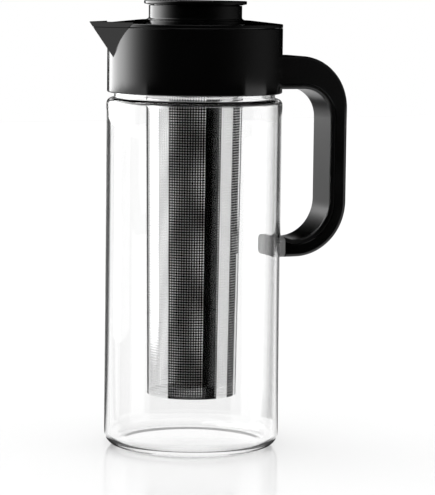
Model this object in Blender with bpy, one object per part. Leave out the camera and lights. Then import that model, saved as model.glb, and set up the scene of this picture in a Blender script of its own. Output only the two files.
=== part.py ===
"""Glass infuser pitcher: a cylindrical carafe with a spouted collar and a D-loop
handle, a round lid, a hanging perforated infuser and a cap on its top.

The pitcher stands on z = 0 with the glass on the z axis. The handle points
along +X and the spout along -X. All sizes are in metres.
"""

import math

import bmesh
import bpy
from mathutils import Matrix, Vector

# Shared clearances
FIT_GAP = 0.0003
LID_RUNNING_GAP = 0.0004
SLEEVE_PASS_GAP = 0.0005
OVERRUN = 0.002
WELD_DISTANCE = 0.0000001

# Glass carafe
GLASS_RADIUS = 0.0523
GLASS_WALL = 0.0025
GLASS_FLOOR = 0.0040
GLASS_SHOULDER_HEIGHT = 0.2080
GLASS_FOOT_FILLET = 0.0080
GLASS_INNER_FILLET = 0.0060
GLASS_SHOULDER_FILLET = 0.0036
NECK_STEP = 0.0045
NECK_HEIGHT = 0.0200
NECK_ROOT_FILLET = 0.0008
NECK_LIP_FILLET = 0.0010

# Neck gasket
GASKET_WALL = 0.0016
GASKET_FLANGE = 0.0012
GASKET_SKIRT = 0.0140

# Spout collar
COLLAR_WALL = 0.0020
COLLAR_LIFT = 0.0032
COLLAR_EDGE_FILLET = 0.0008
LEDGE_THICKNESS = 0.0020
SPOUT_REACH = 0.0152
SPOUT_RISE = 0.0010
SPOUT_DEPTH = 0.0209
SPOUT_WALL = 0.0018
SPOUT_HALF_ANGLE = math.radians(25.5)
SPOUT_RUN_IN_SHARE = 1.25

# Lid
LID_SEAL_HEIGHT = 0.0015
LID_SEAL_WIDTH = 0.0038
LID_SKIRT_DEPTH = 0.0128
LID_SKIRT_WALL = 0.0020
LID_INSERT_DISC = 0.0030
LID_RIM_THICKNESS = 0.0021
LID_RISE = 0.0020
LID_COVER_FILLET = 0.0004
STRAINER_SLOT_COUNT = 7
STRAINER_SLOT_ANGLE = math.radians(6.6)
STRAINER_SLOT_WIDTH = 0.0030
STRAINER_SLOT_MARGIN = 0.0020

# Infuser
INFUSER_SPACE = 0.0160
SLEEVE_TAPER = 0.0027
SLEEVE_WALL = 0.0006
SLEEVE_FLOOR_HEIGHT = 0.0310
BASE_SHEET = 0.0008
BASE_RIM_HEIGHT = 0.0020
BASE_RIM_FILLET = 0.0006
RING_LEDGE_WIDTH = 0.0027
RING_FLANGE_DEPTH = 0.0018
RING_SEAL_HEIGHT = 0.0010
RING_SKIRT_DEPTH = 0.0120
RING_WALL = 0.0014

# Cap
CAP_SEAT_WIDTH = 0.0008
CAP_NECK_HEIGHT = 0.0083
CAP_NECK_WALL = 0.0021
CAP_PLUG_DEPTH = 0.0111
CAP_PLUG_CLEARANCE = 0.0005
CAP_PLUG_WALL = 0.0033
CAP_FLOOR = 0.0020
CAP_OVERHANG = 0.0028
CAP_TOP_THICKNESS = 0.0025
CAP_TOP_TAPER = 0.0006
CAP_TOP_FILLET = 0.0005
CAP_SPIGOT_DEPTH = 0.0025
CAP_SEAL_HEIGHT = 0.0020
CAP_SEAL_WIDTH = 0.0013
CAP_SEAL_LIFT = 0.0034

# Handle
FINGER_CLEARANCE = 0.0322
GRIP_THICKNESS = 0.0110
HANDLE_WIDTH = 0.0264
HANDLE_EDGE_RADIUS = 0.0022
ARM_LIFT = 0.0020
ARM_ROOT_HEIGHT = 0.0198
FOOT_HEIGHT = 0.1122
FOOT_ARM_THICKNESS = 0.0105
FOOT_FLARE = 0.0015
FOOT_FLARE_LENGTH = 0.0050
FOOT_FLARE_FILLET = 0.0080
OUTER_TOP_RADIUS = 0.0315
OUTER_BOTTOM_RADIUS = 0.0330
INNER_TOP_RADIUS = 0.0180
INNER_BOTTOM_RADIUS = 0.0230
SHELL_WALL = 0.0020
LINER_THICKNESS = 0.0026
LINER_TONGUE_DEPTH = 0.0020
LINER_TONGUE_OVERLAP = 0.0005

# Handle bracket and screws
BRACKET_REACH = 0.0080
BRACKET_HALF_WIDTH = 0.0090
BRACKET_HEIGHT = 0.0070
SCREW_SHAFT_RADIUS = 0.0015
SCREW_HEAD_RADIUS = 0.0028
SCREW_HEAD_HEIGHT = 0.0018
SCREW_HEAD_FILLET = 0.0004
SCREW_BITE = 0.0035
SCREW_TIP_CLEARANCE = 0.0005
SCREW_OFFSET = 0.0050
SCREW_POST_WALL = 0.0017

# Foot pad
PAD_THICKNESS = 0.0022
PAD_CORNER_RADIUS = 0.0030
PAD_PLUG_RADIUS = 0.0030
PAD_PLUG_BEYOND_WALL = 0.0014

# Mesh resolution
TURN_STEPS = 48
SMALL_TURN_STEPS = 12
ARC_STEPS = 2
FINE_ARC_STEPS = 5
HANDLE_ARC_STEPS = 8
EDGE_STEPS = 2
PAD_STEPS = 8
SMOOTH_ANGLE = math.radians(35)

# Radii that follow from the sizes above
NECK_RADIUS = GLASS_RADIUS - NECK_STEP
NECK_BORE = NECK_RADIUS - GLASS_WALL
GASKET_INNER_RADIUS = NECK_RADIUS + FIT_GAP
GASKET_OUTER_RADIUS = GASKET_INNER_RADIUS + GASKET_WALL
COLLAR_BORE = GASKET_OUTER_RADIUS + FIT_GAP
COLLAR_RADIUS = COLLAR_BORE + COLLAR_WALL
LID_SKIRT_RADIUS = COLLAR_BORE - LID_RUNNING_GAP
SLEEVE_TOP_RADIUS = NECK_BORE - INFUSER_SPACE
SLEEVE_BOTTOM_RADIUS = SLEEVE_TOP_RADIUS - SLEEVE_TAPER
LID_BORE = SLEEVE_TOP_RADIUS + SLEEVE_PASS_GAP
RING_FLANGE_RADIUS = LID_BORE + RING_LEDGE_WIDTH
RING_RECESS_RADIUS = RING_FLANGE_RADIUS + FIT_GAP

# Heights that follow, from the glass rim up to the cap
GLASS_TOP = GLASS_SHOULDER_HEIGHT + NECK_HEIGHT
COLLAR_BOTTOM = GLASS_SHOULDER_HEIGHT + COLLAR_LIFT
GASKET_FLANGE_BOTTOM = GLASS_TOP + FIT_GAP
GASKET_TOP = GASKET_FLANGE_BOTTOM + GASKET_FLANGE
LEDGE_BOTTOM = GASKET_TOP + FIT_GAP
LEDGE_TOP = LEDGE_BOTTOM + LEDGE_THICKNESS
LID_SEAL_BOTTOM = LEDGE_TOP + FIT_GAP
LID_SEAL_TOP = LID_SEAL_BOTTOM + LID_SEAL_HEIGHT
LID_SKIRT_BOTTOM = LID_SEAL_TOP + FIT_GAP
LID_DISC_BOTTOM = LID_SKIRT_BOTTOM + LID_SKIRT_DEPTH
LID_INSERT_TOP = LID_DISC_BOTTOM + LID_INSERT_DISC
LID_COVER_BOTTOM = LID_INSERT_TOP + FIT_GAP
LID_RIM_TOP = LID_COVER_BOTTOM + LID_RIM_THICKNESS
LID_TOP = LID_RIM_TOP + LID_RISE
COLLAR_TOP = LID_INSERT_TOP
SPOUT_TOP = LID_RIM_TOP + SPOUT_RISE
RING_FLANGE_BOTTOM = LID_RIM_TOP - RING_FLANGE_DEPTH
RING_SEAL_TOP = RING_FLANGE_BOTTOM - FIT_GAP
RING_SEAL_BOTTOM = RING_SEAL_TOP - RING_SEAL_HEIGHT
RING_RECESS_FLOOR = RING_SEAL_BOTTOM - FIT_GAP
RING_SKIRT_BOTTOM = RING_FLANGE_BOTTOM - RING_SKIRT_DEPTH
SLEEVE_TOP = RING_FLANGE_BOTTOM - FIT_GAP
CAP_NECK_BOTTOM = LID_TOP + FIT_GAP
CAP_NECK_TOP = CAP_NECK_BOTTOM + CAP_NECK_HEIGHT
CAP_PLUG_BOTTOM = CAP_NECK_BOTTOM - CAP_PLUG_DEPTH
CAP_TOP_BOTTOM = CAP_NECK_TOP + FIT_GAP
CAP_TOP_TOP = CAP_TOP_BOTTOM + CAP_TOP_THICKNESS

# Places of the handle
HALF_WIDTH = HANDLE_WIDTH / 2
GRIP_INNER_X = GLASS_RADIUS + FINGER_CLEARANCE
GRIP_OUTER_X = GRIP_INNER_X + GRIP_THICKNESS
ARM_UNDERSIDE = COLLAR_BOTTOM + ARM_LIFT
ARM_TOP = ARM_UNDERSIDE + ARM_ROOT_HEIGHT
FOOT_ARM_TOP = FOOT_HEIGHT + FOOT_ARM_THICKNESS
PAD_FACE_X = GLASS_RADIUS + FIT_GAP + PAD_THICKNESS
FOOT_FACE_X = PAD_FACE_X + FIT_GAP
PAD_PLUG_END_X = FOOT_FACE_X + SHELL_WALL + PAD_PLUG_BEYOND_WALL
FLARE_X = FOOT_FACE_X + FOOT_FLARE_LENGTH
ROOT_X = math.sqrt(COLLAR_RADIUS**2 - HALF_WIDTH**2) - OVERRUN
CAVITY_HALF_WIDTH = HALF_WIDTH - SHELL_WALL
CAVITY_ROOF = ARM_TOP - SHELL_WALL
SCREW_HEAD_BOTTOM = ARM_UNDERSIDE + LINER_THICKNESS + FIT_GAP
SCREW_HEAD_TOP = SCREW_HEAD_BOTTOM + SCREW_HEAD_HEIGHT
BRACKET_BOTTOM = SCREW_HEAD_TOP + FIT_GAP
BRACKET_TOP = BRACKET_BOTTOM + BRACKET_HEIGHT
BRACKET_END_X = COLLAR_RADIUS + BRACKET_REACH
SCREW_X = COLLAR_RADIUS + BRACKET_REACH / 2
SCREW_HOLE_RADIUS = SCREW_SHAFT_RADIUS + FIT_GAP
SCREW_POST_BOTTOM = BRACKET_TOP + FIT_GAP
SCREW_TIP = SCREW_POST_BOTTOM + SCREW_BITE
SCREW_CENTRES = [Vector((SCREW_X, side * SCREW_OFFSET, 0)) for side in (-1, 1)]

# Finishes: colour, metallic, roughness, transmission
GLASS = ((0.96, 0.97, 0.97, 1.0), 0.0, 0.02, 1.0)
BLACK_PLASTIC = ((0.012, 0.012, 0.013, 1.0), 0.0, 0.28, 0.0)
GRIP_PLASTIC = ((0.016, 0.016, 0.017, 1.0), 0.0, 0.42, 0.0)
POLISHED_STEEL = ((0.78, 0.78, 0.77, 1.0), 1.0, 0.16, 0.0)
PALE_SILICONE = ((0.62, 0.62, 0.61, 1.0), 0.0, 0.55, 0.0)
BLACK_SILICONE = ((0.03, 0.03, 0.03, 1.0), 0.0, 0.6, 0.0)
ZINC_STEEL = ((0.55, 0.55, 0.54, 1.0), 1.0, 0.35, 0.0)


def clear_scene():
    """Removes whatever the open file holds."""
    for item in list(bpy.data.objects):
        bpy.data.objects.remove(item, do_unlink=True)


def principled(name, finish):
    """A material with the given colour, metallic, roughness and transmission."""
    colour, metallic, roughness, transmission = finish
    material = bpy.data.materials.new(name)
    material.use_nodes = True
    shader = material.node_tree.nodes["Principled BSDF"]
    shader.inputs["Base Color"].default_value = colour
    shader.inputs["Metallic"].default_value = metallic
    shader.inputs["Roughness"].default_value = roughness
    shader.inputs["Transmission Weight"].default_value = transmission
    material.diffuse_color = colour
    return material


def joint_empty(name, height, parent=None):
    """An empty on the z axis that a group of pieces moves with."""
    empty = bpy.data.objects.new(name, None)
    empty.location.z = height
    bpy.context.scene.collection.objects.link(empty)
    if parent:
        bpy.context.view_layer.update()
        empty.parent = parent
        empty.matrix_parent_inverse = parent.matrix_world.inverted()
    return empty


def add_piece(name, mesh, finish=None, parent=None):
    """Links a finished bmesh as an object; with no finish it is a cutter or a tool."""
    bmesh.ops.recalc_face_normals(mesh, faces=mesh.faces)
    data = bpy.data.meshes.new(name)
    mesh.to_mesh(data)
    mesh.free()
    data.shade_smooth()
    data.set_sharp_from_angle(angle=SMOOTH_ANGLE)
    piece = bpy.data.objects.new(name, data)
    bpy.context.scene.collection.objects.link(piece)
    if finish:
        data.materials.append(principled(name, finish))
    else:
        piece.hide_render = True
        piece.display_type = "WIRE"
    if parent:
        bpy.context.view_layer.update()
        piece.parent = parent
        piece.matrix_parent_inverse = parent.matrix_world.inverted()
    return piece


def combine(piece, tool, operation):
    """Joins, cuts or intersects a piece with a tool object."""
    modifier = piece.modifiers.new(f"{operation.lower()} {tool.name}", "BOOLEAN")
    modifier.operation = operation
    modifier.solver = "EXACT"
    modifier.object = tool


def corner_reach(before, corner, after, radius):
    """How far a corner's rounding reaches along its two sides."""
    return radius / math.tan((before - corner).angle(after - corner) / 2)


def corner_arc(before, corner, after, reach, quarter_steps):
    """Points that round one corner of an outline, or the corner itself."""
    inward = (before - corner).normalized()
    outward = (after - corner).normalized()
    angle = inward.angle(outward)
    turn = math.pi - angle
    radius = reach * math.tan(angle / 2)
    if radius <= WELD_DISTANCE:
        return [corner]
    centre = corner + (inward + outward).normalized() * (radius / math.sin(angle / 2))
    start = corner + inward * reach - centre
    side = 1 if inward.cross(outward) < 0 else -1
    steps = max(1, round(quarter_steps * turn / (math.pi / 2)))
    return [centre + rotated(start, side * turn * step / steps) for step in range(steps + 1)]


def rotated(vector, angle):
    """A 2-D vector turned by an angle."""
    return Vector(
        (
            vector.x * math.cos(angle) - vector.y * math.sin(angle),
            vector.x * math.sin(angle) + vector.y * math.cos(angle),
        )
    )


def rounded_outline(corners, quarter_steps=ARC_STEPS):
    """The points of a closed outline given as corners of (u, v, fillet radius).

    Where two roundings are longer than the side between them, both shrink to fit it.
    """
    places = [Vector(corner[:2]) for corner in corners]
    before = places[-1:] + places[:-1]
    after = places[1:] + places[:1]
    radii = [corner[2] for corner in corners]
    reaches = [corner_reach(*ends) for ends in zip(before, places, after, radii)]
    points = []
    for index, place in enumerate(places):
        share = 1
        for nearby in (index - 1, (index + 1) % len(places)):
            needed = reaches[index] + reaches[nearby]
            if needed > WELD_DISTANCE:
                share = min(share, (places[nearby] - place).length / needed)
        reach = reaches[index] * share
        points += corner_arc(before[index], place, after[index], reach, quarter_steps)
    return points


def turned_mesh(outline, steps, centres):
    """Solids turned round upright axes from an outline of (radius, height) points."""
    mesh = bmesh.new()
    for centre in centres:
        verts = [mesh.verts.new(centre + Vector((point.x, 0, point.y))) for point in outline]
        edges = []
        for index, vert in enumerate(verts):
            if max(outline[index - 1].x, outline[index].x) > WELD_DISTANCE:
                edges.append(mesh.edges.new((verts[index - 1], vert)))
        bmesh.ops.spin(
            mesh,
            geom=verts + edges,
            cent=centre,
            axis=(0, 0, 1),
            angle=2 * math.pi,
            steps=steps,
            use_merge=False,
        )
    bmesh.ops.remove_doubles(mesh, verts=mesh.verts, dist=WELD_DISTANCE)
    return mesh


def turned(name, corners, finish=None, parent=None, steps=TURN_STEPS, centres=(Vector(),)):
    """A turned piece on the z axis, or a tool made of like ones round other axes."""
    mesh = turned_mesh(rounded_outline(corners), steps, centres)
    return add_piece(name, mesh, finish, parent)


def ring_corners(inner, outer, low, high):
    """The corners of a plain ring's section."""
    return [(inner, low, 0), (outer, low, 0), (outer, high, 0), (inner, high, 0)]


def rod_corners(radius, low, high):
    """The corners of a plain rod's half section."""
    return [(0, low, 0), (radius, low, 0), (radius, high, 0), (0, high, 0)]


def stacked(layers, place):
    """A solid through outlines of equal count, each placed at its own depth.

    Args:
        layers: pairs of an outline and its depth.
        place: maps a 2-D point and a depth to a point in space.
    """
    mesh = bmesh.new()
    loops = [[mesh.verts.new(place(point, depth)) for point in outline] for outline, depth in layers]
    for lower, upper in zip(loops, loops[1:]):
        for index in range(len(lower)):
            nearby = index - 1
            mesh.faces.new((lower[nearby], lower[index], upper[index], upper[nearby]))
    mesh.faces.new(loops[0])
    mesh.faces.new(loops[-1])
    return mesh


def side_place(point, depth):
    """Outline in the xz plane, depth along y."""
    return (point.x, depth, point.y)


def side_slab(name, corners, half_width, finish=None, parent=None):
    """A plain slab of an xz outline, centred on y = 0."""
    outline = rounded_outline(corners, HANDLE_ARC_STEPS)
    mesh = stacked([(outline, -half_width), (outline, half_width)], side_place)
    return add_piece(name, mesh, finish, parent)


def outer_line(inset, root_x, foot_x):
    """Corners along the handle's outside, from the collar down to the foot."""
    return [
        (root_x, ARM_TOP - inset, 0),
        (GRIP_OUTER_X - inset, ARM_TOP - inset, OUTER_TOP_RADIUS - inset),
        (GRIP_OUTER_X - inset, FOOT_HEIGHT + inset, OUTER_BOTTOM_RADIUS - inset),
        (foot_x, FOOT_HEIGHT + inset, 0),
    ]


def inner_line(inset, root_x, foot_x):
    """Corners along the handle's inside, from the foot up to the collar."""
    flare = FOOT_FLARE * (FLARE_X - foot_x) / FOOT_FLARE_LENGTH
    return [
        (foot_x, FOOT_ARM_TOP + flare - inset, 0),
        (FLARE_X, FOOT_ARM_TOP - inset, FOOT_FLARE_FILLET),
        (GRIP_INNER_X + inset, FOOT_ARM_TOP - inset, INNER_BOTTOM_RADIUS + inset),
        (GRIP_INNER_X + inset, ARM_UNDERSIDE + inset, INNER_TOP_RADIUS + inset),
        (root_x, ARM_UNDERSIDE + inset, 0),
    ]


def handle_outline(outer_inset, inner_inset, root_x, foot_x):
    """The closed outline of the D-loop, drawn in by an inset on each side."""
    return outer_line(outer_inset, root_x, foot_x) + inner_line(inner_inset, root_x, foot_x)


def liner_band(near_inset, far_inset, root_x, foot_x):
    """A closed strip along the handle's inside, between two insets."""
    far_side = inner_line(far_inset, root_x, foot_x)
    return inner_line(near_inset, root_x, foot_x) + far_side[::-1]


def handle_blank(name, finish, parent):
    """The whole D-loop with rounded long edges, before it is cut in two pieces."""
    layers = []
    for step in range(EDGE_STEPS + 1):
        angle = math.pi / 2 * step / EDGE_STEPS
        inset = HANDLE_EDGE_RADIUS * (1 - math.sin(angle))
        depth = HALF_WIDTH - HANDLE_EDGE_RADIUS * (1 - math.cos(angle))
        corners = handle_outline(inset, inset, ROOT_X, FOOT_FACE_X)
        layers.append((rounded_outline(corners, HANDLE_ARC_STEPS), depth))
    mirrored = [(outline, -depth) for outline, depth in layers]
    mesh = stacked(mirrored + layers[::-1], side_place)
    return add_piece(name, mesh, finish, parent)


def sleeve_radius(height):
    """The infuser tube's outer radius at a height; the tube narrows evenly."""
    share = (height - SLEEVE_FLOOR_HEIGHT) / (SLEEVE_TOP - SLEEVE_FLOOR_HEIGHT)
    return SLEEVE_BOTTOM_RADIUS + (SLEEVE_TOP_RADIUS - SLEEVE_BOTTOM_RADIUS) * share


def build_glass(parent):
    """The carafe: rounded foot, straight wall, short shoulder and neck."""
    inner_radius = GLASS_RADIUS - GLASS_WALL
    inner_shoulder = GLASS_SHOULDER_HEIGHT - GLASS_WALL
    corners = [
        (0, 0, 0),
        (GLASS_RADIUS, 0, GLASS_FOOT_FILLET),
        (GLASS_RADIUS, GLASS_SHOULDER_HEIGHT, GLASS_SHOULDER_FILLET),
        (NECK_RADIUS, GLASS_SHOULDER_HEIGHT, NECK_ROOT_FILLET),
        (NECK_RADIUS, GLASS_TOP, NECK_LIP_FILLET),
        (NECK_BORE, GLASS_TOP, NECK_LIP_FILLET),
        (NECK_BORE, inner_shoulder, NECK_ROOT_FILLET),
        (inner_radius, inner_shoulder, GLASS_SHOULDER_FILLET - NECK_ROOT_FILLET),
        (inner_radius, GLASS_FLOOR, GLASS_INNER_FILLET),
        (0, GLASS_FLOOR, 0),
    ]
    outline = rounded_outline(corners, FINE_ARC_STEPS)
    add_piece("glass_carafe", turned_mesh(outline, TURN_STEPS, [Vector()]), GLASS, parent)


def build_gasket(parent):
    """The silicone ring that wraps the neck and covers its rim."""
    skirt_bottom = GASKET_TOP - GASKET_SKIRT
    corners = [
        (GASKET_INNER_RADIUS, skirt_bottom, 0),
        (GASKET_OUTER_RADIUS, skirt_bottom, 0),
        (GASKET_OUTER_RADIUS, GASKET_TOP, 0),
        (NECK_BORE, GASKET_TOP, 0),
        (NECK_BORE, GASKET_FLANGE_BOTTOM, 0),
        (GASKET_INNER_RADIUS, GASKET_FLANGE_BOTTOM, 0),
    ]
    turned("neck_gasket", corners, BLACK_SILICONE, parent)


def spout_places():
    """The beak's tip, its foot on the collar's wall and the two ends of its rim."""
    tip = Vector((-COLLAR_RADIUS - SPOUT_REACH, 0, SPOUT_TOP))
    foot = Vector((-COLLAR_RADIUS, 0, SPOUT_TOP - SPOUT_DEPTH))
    wing_x = -COLLAR_RADIUS * math.cos(SPOUT_HALF_ANGLE)
    wing_y = COLLAR_RADIUS * math.sin(SPOUT_HALF_ANGLE)
    wings = [Vector((wing_x, side * wing_y, SPOUT_TOP)) for side in (-1, 1)]
    return tip, foot, wings


def spout_wedge(name, shift, floor):
    """The V beak as a wedge that runs on into the collar, and is cut flat at a floor."""
    tip, foot, wings = spout_places()
    mesh = bmesh.new()
    verts = [mesh.verts.new(tip + shift)]
    for place in [foot] + wings:
        verts.append(mesh.verts.new(tip + shift + (place - tip) * SPOUT_RUN_IN_SHARE))
    bmesh.ops.convex_hull(mesh, input=verts)
    geometry = mesh.verts[:] + mesh.edges[:] + mesh.faces[:]
    bmesh.ops.bisect_plane(
        mesh, geom=geometry, plane_co=(0, 0, floor), plane_no=(0, 0, 1), clear_inner=True
    )
    bmesh.ops.holes_fill(mesh, edges=mesh.edges)
    return add_piece(name, mesh)


def spout_shift():
    """How far the wedge moves so that each of its walls keeps its thickness."""
    tip, foot, wings = spout_places()
    normal = (tip - foot).cross(wings[1] - foot).normalized()
    flat = Vector((normal.x, 0, normal.z))
    inward = -flat if flat.x < 0 else flat
    return inward * (SPOUT_WALL / flat.length_squared)


def handle_bracket():
    """The block on the collar that the handle's arm slides over, with its screw holes."""
    start = math.sqrt(COLLAR_RADIUS**2 - BRACKET_HALF_WIDTH**2) - COLLAR_WALL / 2
    corners = [
        (start, BRACKET_BOTTOM, 0),
        (BRACKET_END_X, BRACKET_BOTTOM, 0),
        (BRACKET_END_X, BRACKET_TOP, 0),
        (start, BRACKET_TOP, 0),
    ]
    bracket = side_slab("handle_bracket", corners, BRACKET_HALF_WIDTH)
    holes = turned(
        "bracket_holes",
        rod_corners(SCREW_HOLE_RADIUS, BRACKET_BOTTOM - OVERRUN, BRACKET_TOP + OVERRUN),
        steps=SMALL_TURN_STEPS,
        centres=SCREW_CENTRES,
    )
    combine(bracket, holes, "DIFFERENCE")
    return bracket


def build_collar(parent):
    """The collar with its open V spout, inner ledge and handle bracket."""
    corners = [
        (COLLAR_BORE, COLLAR_BOTTOM, 0),
        (COLLAR_RADIUS, COLLAR_BOTTOM, COLLAR_EDGE_FILLET),
        (COLLAR_RADIUS, COLLAR_TOP, 0),
        (COLLAR_BORE, COLLAR_TOP, 0),
        (COLLAR_BORE, LEDGE_TOP, 0),
        (NECK_BORE, LEDGE_TOP, 0),
        (NECK_BORE, LEDGE_BOTTOM, 0),
        (COLLAR_BORE, LEDGE_BOTTOM, 0),
    ]
    collar = turned("spout_collar", corners, BLACK_PLASTIC, parent)
    above = SPOUT_TOP + OVERRUN
    lid_seat = COLLAR_TOP - FIT_GAP
    inside_corners = [
        (0, COLLAR_BOTTOM, 0),
        (COLLAR_RADIUS - COLLAR_WALL / 2, COLLAR_BOTTOM, 0),
        (COLLAR_RADIUS - COLLAR_WALL / 2, lid_seat, 0),
        (COLLAR_RADIUS + FIT_GAP, lid_seat, 0),
        (COLLAR_RADIUS + FIT_GAP, above, 0),
        (0, above, 0),
    ]
    inside = turned("spout_inside_cut", inside_corners)
    beak = spout_wedge("spout_wedge", Vector(), COLLAR_BOTTOM)
    combine(beak, inside, "DIFFERENCE")
    channel = spout_wedge("spout_channel", spout_shift(), LEDGE_TOP + FIT_GAP)
    combine(collar, beak, "UNION")
    combine(collar, channel, "DIFFERENCE")
    combine(collar, handle_bracket(), "UNION")


def build_handle(parent):
    """The hollow shell of the D-loop and the liner strip that closes its inside."""
    above = ARM_TOP + OVERRUN
    below = ARM_UNDERSIDE - OVERRUN
    collar_cut = turned("handle_root_cut", rod_corners(COLLAR_RADIUS + FIT_GAP, below, above))

    shell = handle_blank("handle_shell", BLACK_PLASTIC, parent)
    liner_side = LINER_THICKNESS + FIT_GAP
    liner_space = side_slab(
        "liner_space",
        liner_band(-OVERRUN, liner_side, ROOT_X - OVERRUN, FOOT_FACE_X - OVERRUN),
        HALF_WIDTH + OVERRUN,
    )
    cavity = side_slab(
        "shell_cavity",
        handle_outline(
            SHELL_WALL, liner_side - OVERRUN, ROOT_X - OVERRUN, FOOT_FACE_X + SHELL_WALL
        ),
        CAVITY_HALF_WIDTH,
    )
    combine(shell, cavity, "DIFFERENCE")
    combine(shell, liner_space, "DIFFERENCE")
    combine(shell, collar_cut, "DIFFERENCE")
    pilot_top = SCREW_TIP + SCREW_TIP_CLEARANCE
    post_radius = SCREW_HOLE_RADIUS + SCREW_POST_WALL
    post_top = CAVITY_ROOF + SHELL_WALL / 2
    post_corners = [
        (0, pilot_top, 0),
        (SCREW_HOLE_RADIUS, pilot_top, 0),
        (SCREW_HOLE_RADIUS, SCREW_POST_BOTTOM, 0),
        (post_radius, SCREW_POST_BOTTOM, 0),
        (post_radius, post_top, 0),
        (0, post_top, 0),
    ]
    posts = turned(
        "screw_posts", post_corners, steps=SMALL_TURN_STEPS, centres=SCREW_CENTRES
    )
    combine(shell, posts, "UNION")
    foot_hole = turned(
        "foot_hole",
        rod_corners(PAD_PLUG_RADIUS + FIT_GAP, -OVERRUN, SHELL_WALL + OVERRUN),
        steps=SMALL_TURN_STEPS,
    )
    foot_hole.matrix_world = foot_axis_matrix(FOOT_FACE_X)
    combine(shell, foot_hole, "DIFFERENCE")

    liner = handle_blank("handle_liner", GRIP_PLASTIC, parent)
    liner_blank = side_slab(
        "liner_blank",
        liner_band(-OVERRUN, LINER_THICKNESS, ROOT_X - OVERRUN, FOOT_FACE_X - OVERRUN),
        HALF_WIDTH + OVERRUN,
    )
    tongue = side_slab(
        "liner_tongue",
        liner_band(
            LINER_THICKNESS - LINER_TONGUE_OVERLAP,
            LINER_THICKNESS + LINER_TONGUE_DEPTH,
            BRACKET_END_X + OVERRUN,
            PAD_PLUG_END_X + FIT_GAP,
        ),
        CAVITY_HALF_WIDTH - FIT_GAP,
    )
    combine(liner, liner_blank, "INTERSECT")
    combine(liner, collar_cut, "DIFFERENCE")
    combine(liner, tongue, "UNION")


def build_screws(parent):
    """The two screws that go up through the bracket into the shell's posts."""
    corners = [
        (0, SCREW_HEAD_BOTTOM, 0),
        (SCREW_HEAD_RADIUS, SCREW_HEAD_BOTTOM, SCREW_HEAD_FILLET),
        (SCREW_HEAD_RADIUS, SCREW_HEAD_TOP, 0),
        (SCREW_SHAFT_RADIUS, SCREW_HEAD_TOP, 0),
        (SCREW_SHAFT_RADIUS, SCREW_TIP, 0),
        (0, SCREW_TIP, 0),
    ]
    for name, centre in zip(("handle_screw_front", "handle_screw_back"), SCREW_CENTRES):
        screw = turned(name, corners, ZINC_STEEL, parent, SMALL_TURN_STEPS)
        screw.location = centre


def foot_axis_matrix(x):
    """A frame whose z axis points along +X through the middle of the foot."""
    middle = FOOT_HEIGHT + FOOT_ARM_THICKNESS / 2
    return Matrix.Translation((x, 0, middle)) @ Matrix.Rotation(math.pi / 2, 4, "Y")


def pad_stations():
    """Places across the pad and how far its rounded corners draw each one in."""
    straight = HALF_WIDTH - PAD_CORNER_RADIUS
    stations = []
    for step in range(FINE_ARC_STEPS + 1):
        angle = math.pi / 2 * step / FINE_ARC_STEPS
        across = -straight - PAD_CORNER_RADIUS * math.cos(angle)
        stations.append((across, PAD_CORNER_RADIUS * (1 - math.sin(angle))))
    for step in range(1, PAD_STEPS):
        stations.append((straight * (2 * step / PAD_STEPS - 1), 0))
    return stations + [(-across, inset) for across, inset in stations[FINE_ARC_STEPS::-1]]


def build_pad(parent):
    """The saddle pad between the foot and the glass, with its plug."""
    foot_top = FOOT_ARM_TOP + FOOT_FLARE
    layers = []
    for across, inset in pad_stations():
        hollow_x = math.sqrt((GLASS_RADIUS + FIT_GAP) ** 2 - across**2)
        section = [
            (hollow_x, FOOT_HEIGHT + inset),
            (PAD_FACE_X, FOOT_HEIGHT + inset),
            (PAD_FACE_X, foot_top - inset),
            (hollow_x, foot_top - inset),
        ]
        layers.append(([Vector(point) for point in section], across))
    pad = add_piece("foot_pad", stacked(layers, side_place), PALE_SILICONE, parent)
    plug = turned(
        "pad_plug",
        rod_corners(PAD_PLUG_RADIUS, -PAD_THICKNESS / 2, PAD_PLUG_END_X - PAD_FACE_X),
        steps=SMALL_TURN_STEPS,
    )
    plug.matrix_world = foot_axis_matrix(PAD_FACE_X)
    combine(pad, plug, "UNION")


def build_lid_seal(parent):
    """The flat ring that the lid's skirt presses on the collar's ledge."""
    inner = LID_SKIRT_RADIUS - LID_SEAL_WIDTH
    corners = ring_corners(inner, LID_SKIRT_RADIUS, LID_SEAL_BOTTOM, LID_SEAL_TOP)
    turned("lid_seal", corners, BLACK_SILICONE, parent)


def strainer_slots():
    """Upright slots through the lid's skirt, fanned out round the spout."""
    slot_low = LID_SKIRT_BOTTOM + STRAINER_SLOT_MARGIN
    slot_high = LID_DISC_BOTTOM - STRAINER_SLOT_MARGIN
    length = LID_SKIRT_WALL + 2 * OVERRUN
    centre_radius = LID_SKIRT_RADIUS - LID_SKIRT_WALL / 2
    mesh = bmesh.new()
    for index in range(STRAINER_SLOT_COUNT):
        angle = math.pi + (index - (STRAINER_SLOT_COUNT - 1) / 2) * STRAINER_SLOT_ANGLE
        place = Matrix.Rotation(angle, 4, "Z") @ Matrix.Translation(
            (centre_radius, 0, (slot_low + slot_high) / 2)
        )
        size = Matrix.Diagonal((length, STRAINER_SLOT_WIDTH, slot_high - slot_low, 1))
        bmesh.ops.create_cube(mesh, size=1, matrix=place @ size)
    return add_piece("strainer_slots", mesh)


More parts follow.
